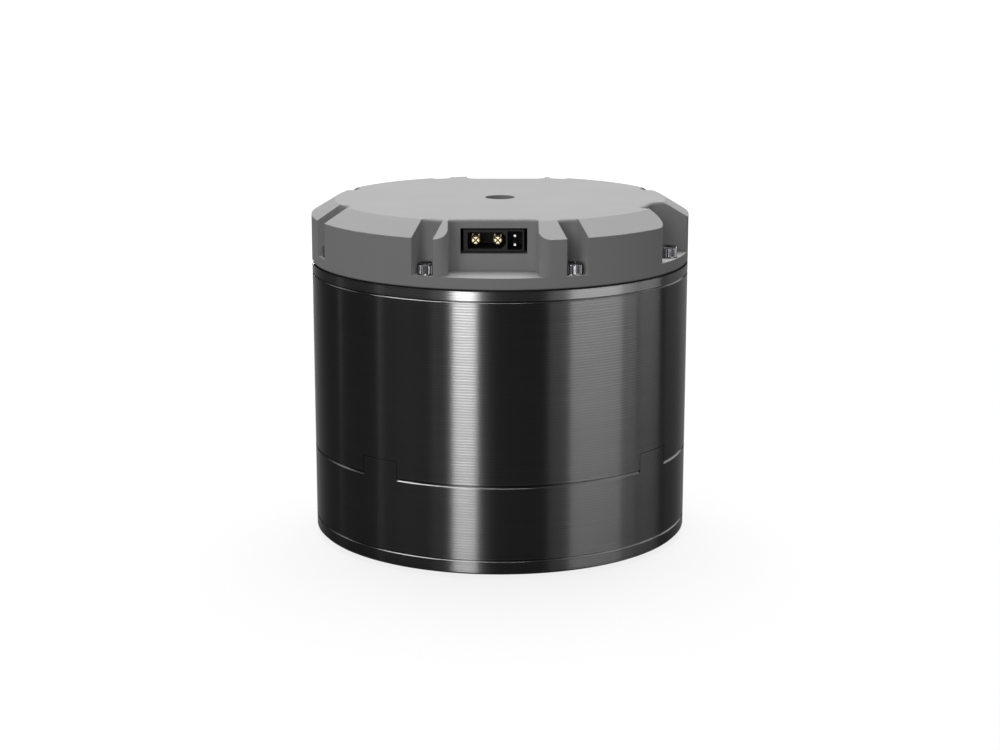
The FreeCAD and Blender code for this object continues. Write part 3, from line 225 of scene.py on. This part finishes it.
# every other finish: a ground colour with a little cloud, and a grain in the gloss and the surface
otherFinish = {"cloud": (4 * mm, 2.0), "polish": 0.05, "grainHeight": 0.02 * mm}
finishes = {
    # socket screws: black oxide on steel, oily sheen
    "screw_black": {
        "name": "blackOxideSteel", "colours": ("#4c4c4e", "#5e5e60"), "metallic": 1.0,
        "roughness": 0.22, "grain": 0.3 * mm, "depth": 0.15},
    # glass-filled nylon: matt, faint mottle
    "connector_plastic": {
        "name": "glassFilledNylon", "colours": ("#1d1d1e", "#262627"), "metallic": 0.0,
        "roughness": 0.55, "grain": 0.25 * mm, "depth": 0.3},
    # gold over nickel on turned contacts
    "gold_contact": {
        "name": "goldPlate", "colours": ("#f6e5bc", "#faeed2"), "metallic": 1.0,
        "roughness": 0.4, "grain": 0.2 * mm, "depth": 0.1},
    # bright tin
    "tin_contact": {
        "name": "tinPlate", "colours": ("#dcdcda", "#e8e8e6"), "metallic": 1.0,
        "roughness": 0.35, "grain": 0.2 * mm, "depth": 0.1},
    # nitrile rubber: dull, slightly dusty
    "seal_rubber": {
        "name": "nitrileRubber", "colours": ("#0e0e0e", "#171717"), "metallic": 0.0,
        "roughness": 0.75, "grain": 0.3 * mm, "depth": 0.3},
    # hobbed and hardened gear steel
    "gear_steel": {
        "name": "hardenedGearSteel", "colours": ("#8d8e90", "#a0a1a3"), "metallic": 1.0,
        "roughness": 0.34, "grain": 0.5 * mm, "depth": 0.15},
    # milled steel carrier
    "carrier_steel": {
        "name": "milledSteel", "colours": ("#9c9c9e", "#adadaf"), "metallic": 1.0,
        "roughness": 0.4, "grain": 0.8 * mm, "depth": 0.2},
    # ground bearing steel: bright, fine
    "bearing_steel": {
        "name": "groundBearingSteel", "colours": ("#b9babc", "#c6c7c9"), "metallic": 1.0,
        "roughness": 0.2, "grain": 0.3 * mm, "depth": 0.08},
    # plain bearing bronze
    "bronze": {
        "name": "bearingBronze", "colours": ("#a87f45", "#b98f55"), "metallic": 1.0,
        "roughness": 0.35, "grain": 0.4 * mm, "depth": 0.15},
    # turned brass spacers
    "brass_standoff": {
        "name": "turnedBrass", "colours": ("#c8a85e", "#d6b870"), "metallic": 1.0,
        "roughness": 0.28, "grain": 0.3 * mm, "depth": 0.1},
    # stacked electrical sheet under varnish
    "lamination": {
        "name": "electricalSheet", "colours": ("#5b5c60", "#6c6d70"), "metallic": 0.8,
        "roughness": 0.5, "grain": 0.5 * mm, "depth": 0.3},
    # enamelled copper wire
    "copper": {
        "name": "enamelledCopper", "colours": ("#a5572c", "#bb6c3a"), "metallic": 0.9,
        "roughness": 0.32, "grain": 0.6 * mm, "depth": 0.35},
    # nickel-plated magnets
    "magnet_nickel": {
        "name": "nickelPlate", "colours": ("#c3c0ba", "#cfccc6"), "metallic": 1.0,
        "roughness": 0.22, "grain": 0.3 * mm, "depth": 0.08},
    # bonded ferrite
    "bonded_magnet": {
        "name": "bondedFerrite", "colours": ("#29292b", "#343436"), "metallic": 0.0,
        "roughness": 0.6, "grain": 0.3 * mm, "depth": 0.3},
    # green solder mask over glass cloth
    "board_green": {
        "name": "solderMask", "colours": ("#0c4526", "#11552f"), "metallic": 0.0,
        "roughness": 0.35, "grain": 0.7 * mm, "depth": 0.2},
    # moulded epoxy
    "chip_black": {
        "name": "mouldedEpoxy", "colours": ("#1a1a1b", "#232324"), "metallic": 0.0,
        "roughness": 0.5, "grain": 0.2 * mm, "depth": 0.25},
    # drawn aluminium can
    "capacitor_can": {
        "name": "drawnAluminium", "colours": ("#b4b5b7", "#c4c5c7"), "metallic": 1.0,
        "roughness": 0.3, "grain": 0.5 * mm, "depth": 0.1},
    # soft silicone pad
    "thermal_pad": {
        "name": "siliconePad", "colours": ("#a9acb2", "#b7bac0"), "metallic": 0.0,
        "roughness": 0.7, "grain": 0.5 * mm, "depth": 0.3},
}


def finishMaterial(values):
    material, tree = newMaterial(values["name"])
    place = addNode(tree, "ShaderNodeTexCoord")
    grain = addNode(tree, "ShaderNodeTexNoise", None,
                    {"Vector": (place, "Object"), "Scale": 1 / values["grain"],
                     "Detail": grainDetail, "Roughness": grainRoughness})
    tone = cloudedTone(tree, place, otherFinish["cloud"], values["colours"])
    polish = addNode(tree, "ShaderNodeMapRange", None,
                     {"Value": (grain, "Fac"), "To Min": values["roughness"] - otherFinish["polish"],
                      "To Max": values["roughness"] + otherFinish["polish"]})
    bump = addNode(tree, "ShaderNodeBump", None,
                   {"Height": (grain, "Fac"), "Strength": values["depth"],
                    "Distance": otherFinish["grainHeight"]})
    shader = addNode(tree, "ShaderNodeBsdfPrincipled", None,
                     {"Base Color": (tone, "Result"), "Metallic": values["metallic"],
                      "Roughness": (polish, "Result"), "Normal": (bump, "Normal")})
    addNode(tree, "ShaderNodeOutputMaterial", None, {"Surface": (shader, "BSDF")})
    return material


# turned, clear anodised aluminium of the output flange: rings round the axis on its face
turnedBright = {
    "colours": ("#b6b8bb", "#c6c8ca"),
    "cloud": (7 * mm, 3.0),
    "roughness": 0.3,
    "polish": 0.05,
    "anisotropy": 0.6,
    "ringPitch": 0.35 * mm,     # feed of the facing cut, drawn coarser so that it shows
    "waver": (0.3, 1.0),        # distortion of the rings and its detail
    "ringDepth": 0.25,
    "ringHeight": 0.01 * mm,
}


def turnedBrightMaterial(values):
    material, tree = newMaterial("clearAnodisedTurned")
    place = addNode(tree, "ShaderNodeTexCoord")
    distortion, detail = values["waver"]
    rings = addNode(tree, "ShaderNodeTexWave",
                    {"wave_type": "RINGS", "rings_direction": "Z", "wave_profile": "SIN"},
                    {"Vector": (place, "Object"), "Scale": waveScale(values["ringPitch"]),
                     "Distortion": distortion, "Detail": detail})
    tone = cloudedTone(tree, place, values["cloud"], values["colours"])
    polish = addNode(tree, "ShaderNodeMapRange", None,
                     {"Value": (rings, "Fac"), "To Min": values["roughness"] - values["polish"],
                      "To Max": values["roughness"] + values["polish"]})
    bump = addNode(tree, "ShaderNodeBump", None,
                   {"Height": (rings, "Fac"), "Strength": values["ringDepth"],
                    "Distance": values["ringHeight"]})
    around = addNode(tree, "ShaderNodeTangent", {"direction_type": "RADIAL", "axis": "Z"})
    shader = addNode(tree, "ShaderNodeBsdfPrincipled", None,
                     {"Base Color": (tone, "Result"), "Metallic": 1.0, "Roughness": (polish, "Result"),
                      "Anisotropic": values["anisotropy"], "Normal": (bump, "Normal"),
                      "Tangent": (around, "Tangent")})
    addNode(tree, "ShaderNodeOutputMaterial", None, {"Surface": (shader, "BSDF")})
    return material


def dress(name, material):
    nodes[name].data.materials.clear()
    nodes[name].data.materials.append(material)


materials = {slot: finishMaterial(values) for slot, values in finishes.items()}
materials["black_anodised"] = turnedBlackMaterial("blackAnodisedTurned", turnedBlack)
materials["cover_grey"] = blastedGreyMaterial(blastedGrey)
materials["output_aluminium"] = turnedBrightMaterial(turnedBright)
for entry in frame["record"]["subparts"]:
    dress(entry["node"], materials[entry["material_slot"]])
# the rear plate gets a lighter, slightly rougher copy of the black finish
plateBlack = {**turnedBlack, "colours": ("#343434", "#3f3f3f"), "roughness": 0.29, "anisotropy": 0.97}
dress("motor_rear_plate", turnedBlackMaterial("blackAnodisedGreyer", plateBlack))
print("materials made:", len(materials) + 1)


def openEdges(ring):
    # in the order of the ring, so that every run fills a hole alike
    around = [edge for vert in ring for edge in vert.link_edges if len(edge.link_faces) < 2]
    return list(dict.fromkeys(around))


def turnedShell(bm, segments, profile):
    # rings of edges extruded one from the last, each step of the profile a (radius, height)
    start = bmesh.ops.create_circle(bm, segments=segments, radius=profile[0][0])["verts"]
    bmesh.ops.translate(bm, verts=start, vec=(0, 0, profile[0][1]))
    ring = openEdges(start)
    rings = [start]
    for (radius, height), (nextRadius, nextHeight) in zip(profile, profile[1:]):
        grown = bmesh.ops.extrude_edge_only(bm, edges=ring)["geom"]
        verts = [part for part in grown if isinstance(part, bmesh.types.BMVert)]
        ring = [part for part in grown if isinstance(part, bmesh.types.BMEdge) and part.is_boundary]
        bmesh.ops.scale(bm, verts=verts, vec=(nextRadius / radius, nextRadius / radius, 1))
        bmesh.ops.translate(bm, verts=verts, vec=(0, 0, nextHeight - height))
        rings.append(verts)
    return rings, ring


def addSocket(bm, rim, acrossFlats, top, depth, way):
    # the flat face between a head's rim and its hexagon socket, and the socket itself; way is 1
    # for a head that faces up and -1 for one that faces down
    rings, floor = turnedShell(bm, 6, [(acrossFlats / math.sqrt(3), top),
                                       (acrossFlats / math.sqrt(3), top - way * depth)])
    bmesh.ops.triangle_fill(bm, edges=list(rim) + openEdges(rings[0]), use_beauty=True)
    bmesh.ops.contextual_create(bm, geom=floor)


def ringOfCopies(bm, count, firstAzimuth, pitchRadius):
    # moves the mesh out to a pitch circle and copies it round the axis
    first = list(bm.verts) + list(bm.edges) + list(bm.faces)
    bmesh.ops.translate(bm, verts=bm.verts, vec=(0, -pitchRadius, 0))
    bmesh.ops.rotate(bm, verts=bm.verts, cent=(0, 0, 0),
                     matrix=Matrix.Rotation(math.radians(firstAzimuth), 3, "Z"))
    for number in range(1, count):
        copied = bmesh.ops.duplicate(bm, geom=first)["geom"]
        verts = [part for part in copied if isinstance(part, bmesh.types.BMVert)]
        bmesh.ops.rotate(bm, verts=verts, cent=(0, 0, 0),
                         matrix=Matrix.Rotation(2 * math.pi * number / count, 3, "Z"))


# cap screws of the rear cover: knurled sides, hexagon sockets
coverScrew = {
    "count": 8,
    "firstAzimuth": 22.5,
    "headRadius": 2.25 * mm,
    "headHeight": 2.5 * mm,
    "knurls": 24,
    "knurlDepth": 0.14 * mm,
    "knurlEnd": 0.3 * mm,       # plain bands below and above the knurling
    "rim": 0.22 * mm,
    "socket": 2.0 * mm,         # across flats
    "socketDepth": 1.3 * mm,
    "shankRadius": 1.25 * mm,
}


def makeCoverScrews(values):
    low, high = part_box("rear_cover_screws")
    tip, top = low[2], high[2]
    radius = values["headRadius"]
    seat = top - values["headHeight"]
    end = values["knurlEnd"]
    # the outermost heads lie half a pitch from the X axis
    pitchRadius = (high[0] - radius) / math.cos(math.pi / values["count"])
    bm = bmesh.new()
    rings, rim = turnedShell(bm, 2 * values["knurls"], [
        (values["shankRadius"], tip), (values["shankRadius"], seat),
        (radius, seat), (radius, seat + end), (radius, seat + end),
        (radius, top - end), (radius, top - end), (radius, top - values["rim"]),
        (radius - values["rim"], top)])
    for ring in (rings[4], rings[5]):
        ordered = sorted(ring, key=lambda vert: math.atan2(vert.co.y, vert.co.x))
        share = 1 - values["knurlDepth"] / radius
        bmesh.ops.scale(bm, verts=ordered[1::2], vec=(share, share, 1))
    bmesh.ops.contextual_create(bm, geom=openEdges(rings[0]))
    addSocket(bm, rim, values["socket"], top, values["socketDepth"], 1)
    ringOfCopies(bm, values["count"], values["firstAzimuth"], pitchRadius)
    finishPiece(bm, "coverScrews", materials["screw_black"], "housing",
                ["rear_cover_screws"])


makeCoverScrews(coverScrew)

# countersunk screws of the bearing clamp ring, seen from below
ringScrew = {
    "count": 8,
    "firstAzimuth": 0,
    "headRadius": 2.25 * mm,
    "rim": 0.12 * mm,
    "socket": 1.6 * mm,
    "socketDepth": 0.9 * mm,
    "shankRadius": 1.25 * mm,
    "facets": 40,
}


def makeRingScrews(values):
    low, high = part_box("clamp_ring_screws")
    radius = values["headRadius"]
    face, tip = low[2], high[2]
    pitchRadius = high[0] - radius
    bm = bmesh.new()
    rings, rim = turnedShell(bm, values["facets"], [
        (values["shankRadius"], tip),
        (values["shankRadius"], face + radius - values["shankRadius"]),
        (radius, face + values["rim"]), (radius - values["rim"], face)])
    bmesh.ops.contextual_create(bm, geom=openEdges(rings[0]))
    addSocket(bm, rim, values["socket"], face, values["socketDepth"], -1)
    ringOfCopies(bm, values["count"], values["firstAzimuth"], pitchRadius)
    finishPiece(bm, "ringScrews", materials["screw_black"], "housing",
                ["clamp_ring_screws"])


makeRingScrews(ringScrew)
print("screws made")


# the camera looks a little down on the side with the main connector
camera = {
    "distance": 496.5 * mm,
    "elevation": 12.84,
    "aimZ": 36.86 * mm,
    "lens": 74.13,
    "sensor": 36.0,
    "clipStart": 10 * mm,
}


def placeCamera(values):
    data = bpy.data.cameras.new("camera")
    data.lens = values["lens"]
    data.sensor_width = values["sensor"]
    data.clip_start = values["clipStart"]
    e = math.radians(values["elevation"])
    eye = bpy.data.objects.new("camera", data)
    bpy.context.scene.collection.objects.link(eye)
    eye.location = atAzimuth(0, values["distance"] * math.cos(e),
                             values["aimZ"] + values["distance"] * math.sin(e))
    eye.rotation_euler = (math.radians(90) - e, 0, 0)
    bpy.context.scene.camera = eye


placeCamera(camera)

# a white floor and a white surround, one soft lamp overhead, a fill, and lamps and upright strips
# that only show as gloss
studio = {
    "floorRadius": 6.0,
    "floorSegments": 96,
    "floorDrop": 0.05 * mm,     # keeps the floor clear of the output face
    "floorColour": "#727272",
    "nearGlow": 0.84,           # under and round the object, where the lamps add the rest
    "farGlow": 1.02,
    "nearReach": 0.12,
    "farReach": 0.9,
    "floorGloss": 0.4,          # share of the floor's and the surround's white that gloss shows
    "worldGloss": 0.3,
    "worldDim": 0.13,           # what the surround gives to matt surfaces
    "aimHeight": 40 * mm,
    "overhead": {"size": 0.9, "height": 1.2, "watts": 15.7, "azimuth": 180, "reach": 0.36},
    "fill": {"size": 0.7, "height": 0.45, "watts": 3.3, "azimuth": -20, "reach": 1.3},
    # two for the gloss of the black body's chamfers, one for the contacts deep in the recesses
    "seamLamp": {"width": 0.62, "depth": 1.2, "height": 1.1, "watts": 48.0,
                 "azimuth": -84, "reach": 0.36},
    "leftSeamLamp": {"width": 0.45, "depth": 0.3, "height": 0.6, "watts": 1.6,
                     "azimuth": -130, "reach": 0.9},
    "contactLamp": {"width": 0.5, "depth": 0.5, "height": 0.02, "watts": 2.7,
                    "azimuth": -3, "reach": 1.0},
    # azimuth, width and share of stripWatts of each strip
    "strips": ((-20.6, 0.25, 1.8), (-38, 0.1, 0.02), (34, 0.2, 0.08), (59, 0.66, 1.38),
               (83, 0.2, 0.21), (100, 0.36, 0.31), (132, 0.55, 0.17), (-75, 0.05, 0.02),
               (-110, 0.03, 0.02), (-168, 0.05, 0.2)),
    "stripWatts": 22.0,
    "stripHeight": 0.5,
    "stripReach": 1.0,
}


def shownShare(tree, gloss):
    # all of a glow where it is seen directly or through something clear, a share of it in gloss
    path = addNode(tree, "ShaderNodeLightPath")
    seen = addNode(tree, "ShaderNodeMath", {"operation": "MAXIMUM"},
                   {0: (path, "Is Camera Ray"), 1: (path, "Is Transmission Ray")})
    return addNode(tree, "ShaderNodeMath", {"operation": "MULTIPLY_ADD"},
                   {0: (path, "Is Glossy Ray"), 1: gloss, 2: (seen, "Value")})


def makeFloor(values):
    bm = bmesh.new()
    bmesh.ops.create_circle(bm, cap_ends=True, segments=values["floorSegments"],
                            radius=values["floorRadius"])
    mesh = bpy.data.meshes.new("floor")
    bm.to_mesh(mesh)
    bm.free()
    floor = bpy.data.objects.new("floor", mesh)
    bpy.context.scene.collection.objects.link(floor)
    floor.location = (0, 0, -values["floorDrop"])

    material, tree = newMaterial("paleFloor")
    share = shownShare(tree, values["floorGloss"])
    place = addNode(tree, "ShaderNodeTexCoord")
    reach = addNode(tree, "ShaderNodeVectorMath", {"operation": "LENGTH"}, {0: (place, "Object")})
    spread = addNode(tree, "ShaderNodeMapRange", {"interpolation_type": "SMOOTHSTEP"},
                     {"Value": (reach, "Value"),
                      "From Min": values["nearReach"], "From Max": values["farReach"],
                      "To Min": values["nearGlow"], "To Max": values["farGlow"]})
    power = addNode(tree, "ShaderNodeMath", {"operation": "MULTIPLY"},
                    {0: (share, "Value"), 1: (spread, "Result")})
    matt = addNode(tree, "ShaderNodeBsdfDiffuse", None, {"Color": linear(values["floorColour"])})
    glow = addNode(tree, "ShaderNodeEmission", None, {"Strength": (power, "Value")})
    both = addNode(tree, "ShaderNodeAddShader", None, {0: (matt, "BSDF"), 1: (glow, "Emission")})
    addNode(tree, "ShaderNodeOutputMaterial", None, {"Surface": (both, "Shader")})
    mesh.materials.append(material)


def makeSurround(values):
    world = bpy.data.worlds.new("studio")
    world.use_nodes = True
    tree = world.node_tree
    tree.nodes.clear()
    share = shownShare(tree, values["worldGloss"])
    level = addNode(tree, "ShaderNodeMath", {"operation": "MAXIMUM"},
                    {0: (share, "Value"), 1: values["worldDim"]})
    sky = addNode(tree, "ShaderNodeBackground", None,
                  {"Color": (1, 1, 1, 1), "Strength": (level, "Value")})
    addNode(tree, "ShaderNodeOutputWorld", None, {"Surface": (sky, "Background")})
    bpy.context.scene.world = world


def aimedLamp(name, place, target, watts, width, height):
    # place is (azimuth, reach, height)
    data = bpy.data.lights.new(name, "AREA")
    data.shape = "RECTANGLE"
    data.size = width
    data.size_y = height
    data.energy = watts
    lamp = bpy.data.objects.new(name, data)
    bpy.context.scene.collection.objects.link(lamp)
    lamp.location = atAzimuth(*place)
    lamp.rotation_euler = (target - lamp.location).to_track_quat("-Z", "Y").to_euler()
    return lamp


def lightGroup(name, pieces):
    # the pieces that a lamp is meant for
    group = bpy.data.collections.new(name)
    for piece in pieces:
        group.objects.link(piece)
    return group


def makeLamps(values):
    middle = Vector((0, 0, values["aimHeight"]))
    for name in ("overhead", "fill"):
        lamp = values[name]
        aimedLamp(name, (lamp["azimuth"], lamp["reach"], lamp["height"]), middle,
                  lamp["watts"], lamp["size"], lamp["size"])
    shell = [nodes[name] for name in ("bearing_clamp_ring", "gearbox_housing", "motor_housing",
                                      "motor_rear_plate")]
    shellOnly = lightGroup("shellPieces", shell)
    shiny = lightGroup("shinyPieces", shell + [bpy.data.objects["coverScrews"]])
    contacts = lightGroup("contacts", [nodes["power_pins"], nodes["signal_pins"]])
    glints = []
    for name, lit in (("seamLamp", shellOnly), ("leftSeamLamp", shellOnly), ("contactLamp", contacts)):
        lamp = values[name]
        glints.append((aimedLamp(name, (lamp["azimuth"], lamp["reach"], lamp["height"]), middle,
                                 lamp["watts"], lamp["width"], lamp["depth"]), lit))
    height = values["stripHeight"]
    for number, (azimuth, width, share) in enumerate(values["strips"]):
        glints.append((aimedLamp("strip" + str(number), (azimuth, values["stripReach"], height / 2),
                                 middle, values["stripWatts"] * share, width, height), shiny))
    for lamp, lit in glints:
        lamp.visible_diffuse = False
        lamp.light_linking.receiver_collection = lit


makeFloor(studio)
makeSurround(studio)
makeLamps(studio)
print("studio ready")

bpy.context.scene.view_settings.view_transform = "Standard"
print("done")
